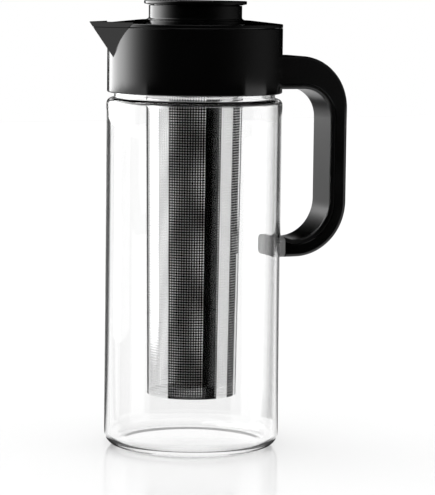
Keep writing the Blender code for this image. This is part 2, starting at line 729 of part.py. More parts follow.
def build_lid(parent):
    """The lid's insert, which plugs the collar, and the cover that rises to the infuser ring."""
    skirt_inner = LID_SKIRT_RADIUS - LID_SKIRT_WALL
    corners = [
        (LID_BORE, LID_DISC_BOTTOM, 0),
        (skirt_inner, LID_DISC_BOTTOM, 0),
        (skirt_inner, LID_SKIRT_BOTTOM, 0),
        (LID_SKIRT_RADIUS, LID_SKIRT_BOTTOM, 0),
        (LID_SKIRT_RADIUS, LID_INSERT_TOP, 0),
        (RING_RECESS_RADIUS, LID_INSERT_TOP, 0),
        (RING_RECESS_RADIUS, RING_RECESS_FLOOR, 0),
        (LID_BORE, RING_RECESS_FLOOR, 0),
    ]
    insert = turned("lid_insert", corners, BLACK_PLASTIC, parent)
    combine(insert, strainer_slots(), "DIFFERENCE")
    cover_corners = [
        (RING_RECESS_RADIUS, LID_COVER_BOTTOM, 0),
        (COLLAR_RADIUS, LID_COVER_BOTTOM, LID_COVER_FILLET),
        (COLLAR_RADIUS, LID_RIM_TOP, LID_COVER_FILLET),
        (RING_RECESS_RADIUS, LID_TOP, 0),
    ]
    turned("lid_cover", cover_corners, BLACK_PLASTIC, parent)


def build_infuser(parent):
    """The hanging tube with its base, the ring it hangs from and that ring's seal."""
    sleeve_corners = [
        (SLEEVE_BOTTOM_RADIUS - SLEEVE_WALL, SLEEVE_FLOOR_HEIGHT, 0),
        (SLEEVE_BOTTOM_RADIUS, SLEEVE_FLOOR_HEIGHT, 0),
        (SLEEVE_TOP_RADIUS, SLEEVE_TOP, 0),
        (SLEEVE_TOP_RADIUS - SLEEVE_WALL, SLEEVE_TOP, 0),
    ]
    turned("infuser_sleeve", sleeve_corners, POLISHED_STEEL, parent)

    base_radius = SLEEVE_BOTTOM_RADIUS - SLEEVE_WALL - FIT_GAP
    rim_top = SLEEVE_FLOOR_HEIGHT + BASE_RIM_HEIGHT
    base_corners = [
        (0, SLEEVE_FLOOR_HEIGHT, 0),
        (base_radius, SLEEVE_FLOOR_HEIGHT, BASE_RIM_FILLET),
        (base_radius, rim_top, 0),
        (base_radius - BASE_SHEET, rim_top, 0),
        (base_radius - BASE_SHEET, SLEEVE_FLOOR_HEIGHT + BASE_SHEET, 0),
        (0, SLEEVE_FLOOR_HEIGHT + BASE_SHEET, 0),
    ]
    turned("infuser_base", base_corners, POLISHED_STEEL, parent)

    skirt_outer = sleeve_radius(RING_SKIRT_BOTTOM) - SLEEVE_WALL - FIT_GAP
    bore = skirt_outer - RING_WALL
    flanged_corners = [
        (bore, RING_SKIRT_BOTTOM, 0),
        (skirt_outer, RING_SKIRT_BOTTOM, 0),
        (skirt_outer, RING_FLANGE_BOTTOM, 0),
        (RING_FLANGE_RADIUS, RING_FLANGE_BOTTOM, 0),
        (RING_FLANGE_RADIUS, LID_TOP, 0),
        (bore, LID_TOP, 0),
    ]
    turned("infuser_ring", flanged_corners, BLACK_PLASTIC, parent)

    seal_corners = ring_corners(LID_BORE, RING_FLANGE_RADIUS, RING_SEAL_BOTTOM, RING_SEAL_TOP)
    turned("infuser_ring_seal", seal_corners, BLACK_SILICONE, parent)
    return bore


def build_cap(parent, ring_bore):
    """The cap's hollow body with its plug and seal, and the disc that closes it."""
    neck_radius = ring_bore + CAP_SEAT_WIDTH
    plug_radius = ring_bore - CAP_PLUG_CLEARANCE
    neck_inner = neck_radius - CAP_NECK_WALL
    plug_inner = plug_radius - CAP_PLUG_WALL
    seal_outer = ring_bore - FIT_GAP
    groove_radius = seal_outer - CAP_SEAL_WIDTH - FIT_GAP
    seal_bottom = CAP_PLUG_BOTTOM + CAP_SEAL_LIFT
    seal_top = seal_bottom + CAP_SEAL_HEIGHT
    body_corners = [
        (0, CAP_PLUG_BOTTOM, 0),
        (plug_radius, CAP_PLUG_BOTTOM, 0),
        (plug_radius, seal_bottom - FIT_GAP, 0),
        (groove_radius, seal_bottom - FIT_GAP, 0),
        (groove_radius, seal_top + FIT_GAP, 0),
        (plug_radius, seal_top + FIT_GAP, 0),
        (plug_radius, CAP_NECK_BOTTOM, 0),
        (neck_radius, CAP_NECK_BOTTOM, 0),
        (neck_radius, CAP_NECK_TOP, 0),
        (neck_inner, CAP_NECK_TOP, 0),
        (neck_inner, CAP_NECK_BOTTOM, 0),
        (plug_inner, CAP_NECK_BOTTOM, 0),
        (plug_inner, CAP_PLUG_BOTTOM + CAP_FLOOR, 0),
        (0, CAP_PLUG_BOTTOM + CAP_FLOOR, 0),
    ]
    turned("cap_body", body_corners, BLACK_PLASTIC, parent)

    flange_radius = neck_radius + CAP_OVERHANG
    spigot_radius = neck_inner - FIT_GAP
    top_corners = [
        (0, CAP_TOP_BOTTOM - CAP_SPIGOT_DEPTH, 0),
        (spigot_radius, CAP_TOP_BOTTOM - CAP_SPIGOT_DEPTH, 0),
        (spigot_radius, CAP_TOP_BOTTOM, 0),
        (neck_radius, CAP_TOP_BOTTOM, 0),
        (flange_radius, CAP_TOP_BOTTOM + CAP_TOP_TAPER, CAP_TOP_FILLET),
        (flange_radius, CAP_TOP_TOP, CAP_TOP_FILLET),
        (0, CAP_TOP_TOP, 0),
    ]
    turned("cap_top", top_corners, BLACK_PLASTIC, parent)

    seal_corners = ring_corners(seal_outer - CAP_SEAL_WIDTH, seal_outer, seal_bottom, seal_top)
    turned("cap_seal", seal_corners, BLACK_SILICONE, parent)


def main():
    """Builds the whole pitcher."""
    clear_scene()
    pitcher = joint_empty("pitcher", 0)
    lid_lift = joint_empty("lid_lift", LID_SEAL_BOTTOM, pitcher)
    lid_turn = joint_empty("lid_turn", LID_SKIRT_BOTTOM, lid_lift)
    infuser_lift = joint_empty("infuser_lift", RING_RECESS_FLOOR, lid_turn)
    cap_lift = joint_empty("cap_lift", CAP_NECK_BOTTOM, infuser_lift)
    build_glass(pitcher)
    build_gasket(pitcher)
    build_collar(pitcher)
    build_handle(pitcher)
    build_screws(pitcher)
    build_pad(pitcher)
    build_lid_seal(lid_lift)
    build_lid(lid_turn)
    ring_bore = build_infuser(infuser_lift)
    build_cap(cap_lift, ring_bore)


main()
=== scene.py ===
"""Looks of the glass infuser pitcher: clear glass, black mouldings and a pierced steel infuser.

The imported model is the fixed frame. Each sub-assembly is a class that builds its
fine meshes over the frame's nodes and dresses them. All sizes are in metres.
"""

import logging
import math
from collections.abc import Callable
from dataclasses import dataclass
from enum import Enum

import bmesh
import bpy
from mathutils import Matrix, Quaternion, Vector


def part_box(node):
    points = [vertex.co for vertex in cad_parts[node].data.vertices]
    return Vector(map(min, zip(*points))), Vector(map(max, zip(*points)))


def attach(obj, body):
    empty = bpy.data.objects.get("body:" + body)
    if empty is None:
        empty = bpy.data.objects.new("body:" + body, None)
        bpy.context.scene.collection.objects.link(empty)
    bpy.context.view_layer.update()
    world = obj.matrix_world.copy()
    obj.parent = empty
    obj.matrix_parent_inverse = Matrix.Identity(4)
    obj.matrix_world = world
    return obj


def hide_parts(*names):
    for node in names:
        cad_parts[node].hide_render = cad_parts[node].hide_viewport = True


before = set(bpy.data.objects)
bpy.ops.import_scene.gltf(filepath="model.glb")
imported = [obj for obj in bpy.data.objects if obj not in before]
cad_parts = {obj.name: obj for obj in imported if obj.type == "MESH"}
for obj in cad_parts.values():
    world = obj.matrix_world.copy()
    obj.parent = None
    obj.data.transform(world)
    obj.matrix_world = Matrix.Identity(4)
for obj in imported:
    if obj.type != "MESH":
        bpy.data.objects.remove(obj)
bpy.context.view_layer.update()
LOG = logging.getLogger("infuser_pitcher")

BMesh = bmesh.types.BMesh
Vert = bmesh.types.BMVert
Material = bpy.types.Material
Node = bpy.types.Node
Socket = bpy.types.NodeSocket
SectionPoint = tuple[Callable[[float], list[Vector]], float, float]

WELD_DISTANCE = 0.0000001
FIT_GAP = 0.0003
FINE_TURN = 256
FINE_ARC = 8
SMOOTH_ANGLE = math.radians(32)
NOISE_LOW = 0.3
NOISE_HIGH = 0.7
CELL_CORNERS = 4


class Body(Enum):
    """The frame's bodies that new pieces ride."""

    PITCHER = "pitcher"
    LID = "lid"
    INFUSER = "infuser"
    CAP = "cap"


class Slot(Enum):
    """The names of four material slots: clear glass, black plastic, grip plastic and polished steel."""

    GLASS = "clear_glass"
    PLASTIC = "black_plastic"
    GRIP = "grip_plastic"
    STEEL = "polished_steel"


class NodeGraph:
    """A short way to write the nodes of one material or world."""

    def __init__(self, tree: bpy.types.NodeTree) -> None:
        """Keeps the tree and clears it."""
        self.tree = tree
        tree.nodes.clear()

    def add(self, kind: str, inputs: dict | None = None, **settings: str) -> Node:
        """Adds a node.

        Args:
            kind: the node's type without its ShaderNode prefix.
            inputs: values, or sockets to link, by input name or index.
            settings: the node's own properties.

        Returns:
            The new node.
        """
        node = self.tree.nodes.new(f"ShaderNode{kind}")
        for name, value in settings.items():
            setattr(node, name, value)
        for name, value in (inputs or {}).items():
            if isinstance(value, Socket):
                self.tree.links.new(value, node.inputs[name])
            else:
                node.inputs[name].default_value = value
        return node

    def math(self, operation: str, first: float | Socket, second: float | Socket = 0.0) -> Socket:
        """The result of one sum on two values or sockets."""
        return self.add("Math", {0: first, 1: second}, operation=operation).outputs[0]

    def noise(self, scale: float, detail: float = 2.0) -> Socket:
        """Noise in the piece's own coordinates.

        Args:
            scale: waves in a metre.
            detail: octaves added.

        Returns:
            The noise value, from 0 to 1.
        """
        place = self.add("TexCoord").outputs["Object"]
        settings = {"Vector": place, "Scale": scale, "Detail": detail}
        return self.add("TexNoise", settings).outputs[0]

    def spread(self, value: Socket, low: float, high: float) -> Socket:
        """Noise stretched to run from low to high."""
        limits = {"From Min": NOISE_LOW, "From Max": NOISE_HIGH, "To Min": low, "To Max": high}
        return self.add("MapRange", {"Value": value, **limits}).outputs[0]

    def blend(self, share: Socket, first: tuple | Socket, second: tuple) -> Socket:
        """A colour between two colours."""
        return self.add("Mix", {0: share, 6: first, 7: second}, data_type="RGBA").outputs[2]

    def mottle(self, share: Socket, level: float, shares: tuple[float, float]) -> Socket:
        """A grey that wanders between two shares of a level."""
        return self.blend(share, grey(level * shares[0]), grey(level * shares[1]))

    def mix_shader(self, share: Socket, first: Node, second: Node) -> Node:
        """The first shader where the share is 0 and the second where it is 1."""
        return self.add("MixShader", {0: share, 1: first.outputs[0], 2: second.outputs[0]})

    def close(self, shader: Node, kind: str = "OutputMaterial") -> None:
        """Joins the finished shader to the output."""
        self.add(kind, {"Surface": shader.outputs[0]})

    def bump(self, height: Socket, depth: float) -> Socket:
        """A normal bumped by a height from 0 to 1 and a depth in metres."""
        inputs = {"Strength": 1.0, "Distance": depth, "Height": height}
        return self.add("Bump", inputs).outputs[0]


def new_material(name: str) -> tuple[Material, NodeGraph]:
    """An empty node material.

    Args:
        name: the material's name.

    Returns:
        The material and its graph.
    """
    material = bpy.data.materials.new(name)
    material.use_nodes = True
    return material, NodeGraph(material.node_tree)


def grey(level: float) -> tuple[float, float, float, float]:
    """A neutral colour of that linear level."""
    return (level, level, level, 1.0)


@dataclass(frozen=True)
class Finish:
    """A named surface. Each kind of finish has its own shader."""

    name: str

    def shader(self, graph: NodeGraph) -> Node:
        """The shader that gives the surface its look."""
        raise NotImplementedError

    def material(self) -> Material:
        """Builds the finish.

        Returns:
            The node material.
        """
        material, graph = new_material(self.name)
        graph.close(self.shader(graph))
        return material


@dataclass(frozen=True)
class PlasticFinish(Finish):
    """Moulded black plastic: a soft gloss with a fine grain and faint flow marks."""

    level: float = 0.0012
    level_shares: tuple[float, float] = (0.8, 1.3)
    roughness: float = 0.12
    roughness_spread: float = 0.02
    grain_scale: float = 2600.0
    grain_depth: float = 0.0000025
    flow_scale: float = 45.0
    specular: float = 0.5

    def shader(self, graph: NodeGraph) -> Node:
        """Builds the plastic's shader.

        Args:
            graph: the material's graph.

        Returns:
            The shader's node.
        """
        flow = graph.noise(self.flow_scale)
        grain = graph.noise(self.grain_scale, 1.0)
        low = self.roughness - self.roughness_spread
        high = self.roughness + self.roughness_spread
        inputs = {
            "Base Color": graph.mottle(flow, self.level, self.level_shares),
            "Roughness": graph.spread(flow, low, high),
            "Normal": graph.bump(grain, self.grain_depth),
            "Specular IOR Level": self.specular,
        }
        return graph.add("BsdfPrincipled", inputs)


@dataclass(frozen=True)
class RubberFinish(Finish):
    """Silicone rubber: matte, faintly mottled, with a fine orange peel."""

    level: float
    level_shares: tuple[float, float] = (0.88, 1.1)
    roughness: float = 0.55
    roughness_spread: float = 0.05
    mottle_scale: float = 160.0
    peel_scale: float = 1900.0
    peel_depth: float = 0.000006

    def shader(self, graph: NodeGraph) -> Node:
        """Builds the rubber's shader.

        Args:
            graph: the material's graph.

        Returns:
            The shader's node.
        """
        mottle = graph.noise(self.mottle_scale, 3.0)
        peel = graph.noise(self.peel_scale, 1.0)
        low = self.roughness - self.roughness_spread
        high = self.roughness + self.roughness_spread
        inputs = {
            "Base Color": graph.mottle(mottle, self.level, self.level_shares),
            "Roughness": graph.spread(mottle, low, high),
            "Normal": graph.bump(peel, self.peel_depth),
        }
        return graph.add("BsdfPrincipled", inputs)


@dataclass(frozen=True)
class SteelFinish(Finish):
    """Stainless steel sheet, duller inside, with fine drawn lines along z."""

    level: float = 0.84
    level_shares: tuple[float, float] = (0.94, 1.05)
    roughness: float = 0.06
    roughness_shares: tuple[float, float] = (0.8, 1.25)
    inner_roughness: float = 0.45
    cloud_scale: float = 70.0
    line_scale: float = 1500.0
    line_stretch: float = 0.02
    line_depth: float = 0.0000012

    def shader(self, graph: NodeGraph) -> Node:
        """Builds the steel's shader.

        Args:
            graph: the material's graph.

        Returns:
            The shader's node.
        """
        place = graph.add("TexCoord").outputs["Object"]
        stretch = graph.add("Mapping", {"Vector": place, "Scale": (1, 1, self.line_stretch)})
        drawn = {"Vector": stretch.outputs[0], "Scale": self.line_scale, "Detail": 2.0}
        lines = graph.add("TexNoise", drawn).outputs[0]
        cloud = graph.noise(self.cloud_scale)
        shine = graph.spread(lines, *(self.roughness * share for share in self.roughness_shares))
        inside = graph.add("NewGeometry").outputs["Backfacing"]
        dulling = self.inner_roughness - self.roughness
        inputs = {
            "Base Color": graph.mottle(cloud, self.level, self.level_shares),
            "Roughness": graph.math("ADD", shine, graph.math("MULTIPLY", inside, dulling)),
            "Normal": graph.bump(lines, self.line_depth),
            "Metallic": 1.0,
        }
        return graph.add("BsdfPrincipled", inputs)


@dataclass(frozen=True)
class GlassFinish(Finish):
    """Clear blown glass that lets lamps through, with painted shade that darkens its colour where it is
    seen edge on.

    A shadow ray, and a ray that has met more surfaces than last_depth, goes straight through.
    """

    body_level: float = 0.985
    # The colour that the painted edge shade falls to.
    edge_shade_level: float = 1.0
    edge_start: float = 0.68
    edge_end: float = 0.80
    ior: float = 1.47
    wave_scale: float = 28.0
    wave_depth: float = 0.00002
    wave_roughness: float = 0.004
    shadow_tint: float = 0.60
    last_depth: float = 4.5

    def shader(self, graph: NodeGraph) -> Node:
        """Builds the glass's shader.

        Args:
            graph: the material's graph.

        Returns:
            The shader's node.
        """
        # Painted shade: the colour falls towards the edge level where the surface turns edge on,
        # standing in for the dark edges that glass shows.
        facing = graph.add("LayerWeight", {"Blend": 0.5}).outputs["Facing"]
        limits = {"Value": facing, "From Min": self.edge_start, "From Max": self.edge_end}
        edge = graph.add("MapRange", limits).outputs[0]
        wave = graph.noise(self.wave_scale, 1.0)
        body = graph.blend(wave, grey(self.body_level), grey(1.0))
        inputs = {
            "Base Color": graph.blend(edge, body, grey(self.edge_shade_level)),
            "Roughness": graph.spread(wave, 0.0, self.wave_roughness),
            "Normal": graph.bump(wave, self.wave_depth),
            "IOR": self.ior,
            "Transmission Weight": 1.0,
        }
        glass = graph.add("BsdfPrincipled", inputs)
        path = graph.add("LightPath")
        shadow = path.outputs["Is Shadow Ray"]
        long_path = graph.math("GREATER_THAN", path.outputs["Ray Depth"], self.last_depth)
        tint = graph.blend(shadow, grey(1.0), grey(self.shadow_tint))
        clear = graph.add("BsdfTransparent", {"Color": tint})
        return graph.mix_shader(graph.math("MAXIMUM", shadow, long_path), glass, clear)


class GlassZone(Enum):
    """The zones of the glass with a finish of their own, differing in how dark their painted edge shade
    is, by their material's place.
    """

    SIDE = 0
    INNER = 1
    ROUNDING = 2


@dataclass
class Palette:
    """The materials that the sub-assemblies share."""

    plastic: Material
    grip: Material
    steel: Material
    zinc: Material
    rubber: Material
    pad: Material
    glass: dict[GlassZone, Material]


@dataclass(frozen=True)
class Corner:
    """One corner of a turned outline: radius, height and the fillet on it."""

    radius: float
    height: float
    fillet: float = 0.0


def rotated(vector: Vector, angle: float) -> Vector:
    """A 2-D vector turned by an angle."""
    return Matrix.Rotation(angle, 2) @ vector


def corner_reach(before: Vector, corner: Vector, after: Vector, radius: float) -> float:
    """How far a corner's rounding reaches along its two sides."""
    return radius / math.tan((before - corner).angle(after - corner) / 2)


def corner_points(
    before: Vector, corner: Vector, after: Vector, reach: float, steps: int
) -> list[Vector]:
    """Points that round one corner of an outline, or the corner itself.

    Args:
        before: the corner ahead of this one.
        corner: the corner.
        after: the corner behind it.
        reach: how far the rounding reaches along both sides.
        steps: points in a quarter turn.

    Returns:
        The points in order.
    """
    inward = (before - corner).normalized()
    outward = (after - corner).normalized()
    angle = inward.angle(outward)
    radius = reach * math.tan(angle / 2)
    if radius <= WELD_DISTANCE:
        return [corner]
    centre = corner + (inward + outward).normalized() * (radius / math.sin(angle / 2))
    start = corner + inward * reach - centre
    turn = math.pi - angle
    side = 1 if inward.cross(outward) < 0 else -1
    count = max(1, round(steps * turn / (math.pi / 2)))
    return [centre + rotated(start, side * turn * step / count) for step in range(count + 1)]


def rounded(
    corners: list[tuple[float, float, float]], steps: int = FINE_ARC, closed: bool = True
) -> list[Vector]:
    """The points of an outline given as (u, v, fillet) corners.

    Args:
        corners: the corners; two roundings that are longer than their side shrink.
        steps: points in a quarter turn.
        closed: whether the last corner joins the first; an open outline keeps plain ends.

    Returns:
        The points in order.
    """
    places = [Vector(corner[:2]) for corner in corners]
    before = places[-1:] + places[:-1]
    after = places[1:] + places[:1]
    ends = () if closed else (0, len(places) - 1)
    reaches = []
    for index, corner in enumerate(corners):
        plain = index in ends or corner[2] <= 0
        sides = before[index], places[index], after[index]
        reaches.append(0.0 if plain else corner_reach(*sides, corner[2]))
    points = []
    for index, place in enumerate(places):
        share = 1.0
        for nearby in (index - 1, (index + 1) % len(places)):
            needed = reaches[index] + reaches[nearby]
            if reaches[index] > 0 and needed > WELD_DISTANCE:
                share = min(share, (places[nearby] - place).length / needed)
        if reaches[index] > 0:
            reach = reaches[index] * share
            points += corner_points(before[index], place, after[index], reach, steps)
        else:
            points.append(place)
    return points


def stacked_mesh(loops: list[list[Vector]]) -> BMesh:
    """A closed solid through loops of equal count.

    Args:
        loops: the loops from one end to the other; both ends are closed.

    Returns:
        The mesh.
    """
    mesh = bmesh.new()
    rows = [[mesh.verts.new(point) for point in loop] for loop in loops]
    for lower, upper in zip(rows, rows[1:]):
        for index in range(len(lower)):
            near = index - 1
            mesh.faces.new((lower[near], lower[index], upper[index], upper[near]))
    mesh.faces.new(rows[0])
    mesh.faces.new(rows[-1])
    bmesh.ops.remove_doubles(mesh, verts=mesh.verts, dist=WELD_DISTANCE)
    bmesh.ops.recalc_face_normals(mesh, faces=mesh.faces)
    return mesh


def loose_object(name: str, mesh: BMesh) -> bpy.types.Object:
    """Links a mesh as a helper that is removed again.

    Args:
        name: the helper's name.
        mesh: its mesh, which is freed.

    Returns:
        The helper.
    """
    data = bpy.data.meshes.new(name)
    mesh.to_mesh(data)
    mesh.free()
    helper = bpy.data.objects.new(name, data)
    bpy.context.scene.collection.objects.link(helper)
    return helper


def carved(mesh: BMesh, tool: BMesh) -> BMesh:
    """A solid with a tool's shape cut away.

    Args:
        mesh: the solid, which is freed.
        tool: the tool's mesh, which is freed.

    Returns:
        The new solid.
    """
    helpers = [loose_object("blank", mesh), loose_object("tool", tool)]
    modifier = helpers[0].modifiers.new("cut", "BOOLEAN")
    modifier.operation = "DIFFERENCE"
    modifier.solver = "EXACT"
    modifier.object = helpers[1]
    bpy.context.view_layer.update()
    graph = bpy.context.evaluated_depsgraph_get()
    result = bmesh.new()
    result.from_mesh(helpers[0].evaluated_get(graph).to_mesh())
    for helper in helpers:
        data = helper.data
        bpy.data.objects.remove(helper, do_unlink=True)
        bpy.data.meshes.remove(data)
    bmesh.ops.remove_doubles(result, verts=result.verts, dist=WELD_DISTANCE)
    return result


def turned_mesh(corners: list[Corner]) -> BMesh:
    """A closed solid turned round the z axis.

    Args:
        corners: the corners of its closed outline, in order.

    Returns:
        The mesh.
    """
    points = rounded([(c.radius, c.height, c.fillet) for c in corners])
    outline = [p for i, p in enumerate(points) if (p - points[i - 1]).length > WELD_DISTANCE]
    mesh = bmesh.new()
    poles = [mesh.verts.new((0, 0, p.y)) if p.x <= WELD_DISTANCE else None for p in outline]
    columns = []
    for step in range(FINE_TURN):
        turn = 2 * math.pi * step / FINE_TURN
        column = []
        for point, pole in zip(outline, poles):
            place = (point.x * math.cos(turn), point.x * math.sin(turn), point.y)
            column.append(pole or mesh.verts.new(place))
        columns.append(column)
    for left, right in zip(columns, columns[1:] + columns[:1]):
        for index in range(len(outline)):
            near = index - 1
            face = dict.fromkeys((left[near], left[index], right[index], right[near]))
            if len(face) > 2:
                mesh.faces.new(tuple(face))
    bmesh.ops.recalc_face_normals(mesh, faces=mesh.faces)
    return mesh


def add_piece(
    name: str,
    mesh: BMesh,
    material: Material,
    body: Body,
    nodes: tuple[str, ...],
) -> bpy.types.Object:
    """Links a finished mesh as a piece that rides a body and stands for CAD nodes.

    Args:
        name: the piece's name.
        mesh: its mesh, which is freed.
        material: its material.
        body: the body it moves with.
        nodes: the CAD nodes it replaces.

    Returns:
        The piece.
    """
    data = bpy.data.meshes.new(name)
    mesh.to_mesh(data)
    mesh.free()
    data.shade_smooth()
    data.set_sharp_from_angle(angle=SMOOTH_ANGLE)
    data.materials.append(material)
    piece = bpy.data.objects.new(name, data)
    bpy.context.scene.collection.objects.link(piece)
    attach(piece, body.value)
    if nodes:
        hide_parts(*nodes)
    LOG.info("%s: %d faces on %s", name, len(data.polygons), body.value)
    return piece


def dress_node(node: str, material: Material) -> None:
    """Gives a CAD node that stays its material.

    Args:
        node: the node's name.
        material: its material.
    """
    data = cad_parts[node].data
    data.materials.clear()
    data.materials.append(material)
    LOG.info("%s keeps its own mesh", node)


@dataclass
class Carafe:
    """The clear glass body, with a pushed-up base, a short shoulder and a neck."""

    wall: float = 0.0025
    floor: float = 0.0027
    foot_fillet: float = 0.0080
    inner_fillet: float = 0.0055
    shoulder_height: float = 0.2080
    shoulder_fillet: float = 0.0036
    neck_step: float = 0.0045
    root_fillet: float = 0.0008
    lip_fillet: float = 0.0010
    push_up: float = 0.0008
    push_up_radius: float = 0.0350
    push_up_slope: float = 0.0060

    def __post_init__(self) -> None:
        """Reads the glass's box once."""
        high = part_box("glass_carafe")[1]
        self.radius = high.x
        self.top = high.z
        self.neck = self.radius - self.neck_step
        self.bore = self.neck - self.wall

    def zone(self, centre: Vector) -> GlassZone:
        """Which zone a face belongs to.

        Args:
            centre: the face's middle.

        Returns:
            The zone.
        """
        reach = math.hypot(centre.x, centre.y)
        middle = self.radius - self.wall / 2
        inside = reach < middle and self.floor / 2 < centre.z < self.shoulder_height
        above = centre.z >= self.shoulder_height and reach < self.bore + self.wall / 2
        if inside or above:
            return GlassZone.INNER
        if self.foot_fillet < centre.z < self.shoulder_height - self.shoulder_fillet:
            return GlassZone.SIDE
        return GlassZone.ROUNDING

    def build(self, palette: Palette) -> None:
        """Builds the glass.

        Args:
            palette: the finished materials.
        """
        inner_radius = self.radius - self.wall
        inner_shoulder = self.shoulder_height - self.wall
        rim_radius = self.push_up_radius + self.push_up_slope
        corners = [
            Corner(0, self.push_up),
            Corner(self.push_up_radius, self.push_up, self.push_up_slope),
            Corner(rim_radius, 0, self.push_up_slope),
            Corner(self.radius, 0, self.foot_fillet),
            Corner(self.radius, self.shoulder_height, self.shoulder_fillet),
            Corner(self.neck, self.shoulder_height, self.root_fillet),
            Corner(self.neck, self.top, self.lip_fillet),
            Corner(self.bore, self.top, self.lip_fillet),
            Corner(self.bore, inner_shoulder, self.root_fillet),
            Corner(inner_radius, inner_shoulder, self.shoulder_fillet - self.wall),
            Corner(inner_radius, self.floor, self.inner_fillet),
            Corner(0, self.floor),
        ]
        mesh = turned_mesh(corners)
        for face in mesh.faces:
            face.material_index = self.zone(face.calc_center_median()).value
        side = palette.glass[GlassZone.SIDE]
        piece = add_piece("glass_body", mesh, side, Body.PITCHER, ("glass_carafe",))
        for zone in (GlassZone.INNER, GlassZone.ROUNDING):
            piece.data.materials.append(palette.glass[zone])


@dataclass
class Lid:
    """The lid's cover plate, which rises towards the infuser, over its insert and seal."""

    edge_fillet: float = 0.0004
    rim_thickness: float = 0.0021

    def build(self, palette: Palette) -> None:
        """Builds the cover plate and dresses the insert and the seal.

        Args:
            palette: the finished materials.
        """
        low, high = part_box("lid_cover")
        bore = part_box("infuser_ring")[1].x + FIT_GAP
        corners = [
            Corner(bore, low.z, self.edge_fillet),
            Corner(high.x, low.z, self.edge_fillet),
            Corner(high.x, low.z + self.rim_thickness, self.edge_fillet),
            Corner(bore, high.z, self.edge_fillet),
        ]
        mesh = turned_mesh(corners)
        add_piece("lid_plate", mesh, palette.plastic, Body.LID, ("lid_cover",))
        dress_node("lid_insert", palette.plastic)
        dress_node("lid_seal", palette.rubber)


